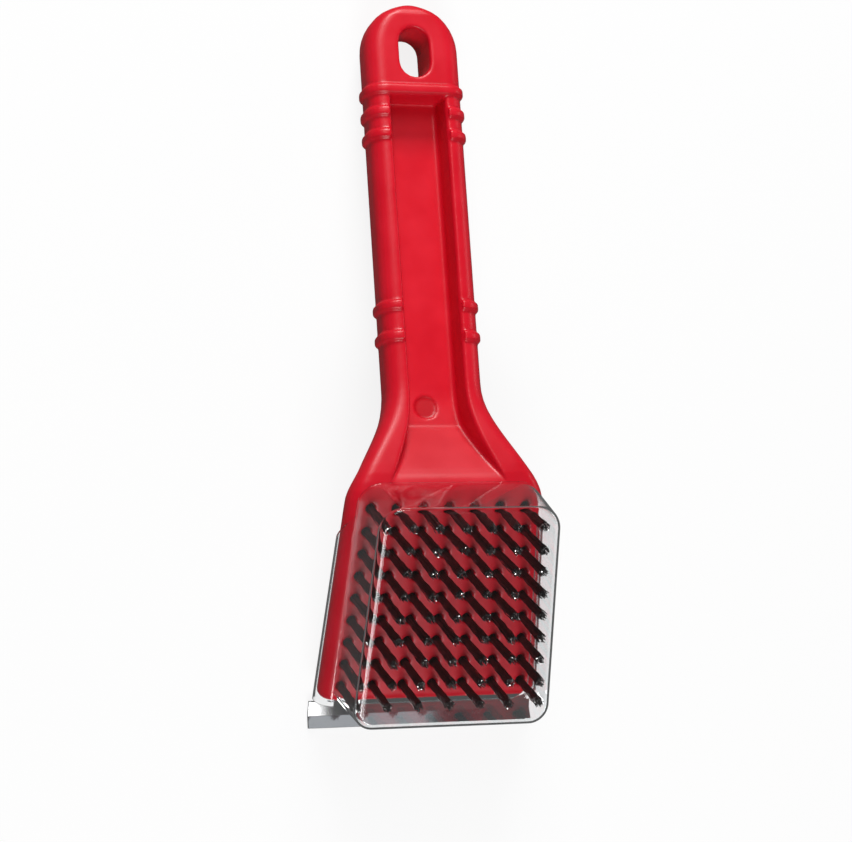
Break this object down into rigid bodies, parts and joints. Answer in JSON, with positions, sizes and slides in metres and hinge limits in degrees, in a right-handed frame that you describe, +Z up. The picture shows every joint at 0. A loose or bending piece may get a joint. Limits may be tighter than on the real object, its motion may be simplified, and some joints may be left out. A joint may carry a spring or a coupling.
{
  "type": "grill cleaning brush",
  "caption": "Grill cleaning brush: bent moulded handle and flared head with wire bristle tufts, steel scraper at the tip and a lift-off clear bristle guard.",
  "frame": {"origin": "centre of the bounding box's bottom, with the brush lying on its back", "axes": "+Y from the scraper towards the hanging end, +Z up, the side the bristles point to, +X across the head"},
  "size_m": [0.0714, 0.2228, 0.058],
  "materials": {
    "red_plastic": "semi-gloss moulded polypropylene",
    "bristle_wire": "dark stainless wire, bright cut tips",
    "scraper_steel": "polished stainless sheet",
    "rivet_steel": "plain steel",
    "clear_plastic": "clear thermoformed sheet"
  },
  "bodies": {
    "brush": {"handle_body": "red_plastic", "bristle_row_1": "bristle_wire", "bristle_row_2": "bristle_wire", "bristle_row_3": "bristle_wire", "bristle_row_4": "bristle_wire", "bristle_row_5": "bristle_wire", "bristle_row_6": "bristle_wire", "bristle_row_7": "bristle_wire", "bristle_row_8": "bristle_wire", "bristle_row_9": "bristle_wire", "scraper": "scraper_steel", "scraper_rivet_1": "rivet_steel", "scraper_rivet_2": "rivet_steel"},
    "guard": {"bristle_guard": "clear_plastic"}
  },
  "joints": [
    {"name": "guard_lift", "type": "slide", "parent": "brush", "child": "guard", "axis": [0, -0.3831, 0.9237], "range_m": [0, 0.03]}
  ]
}
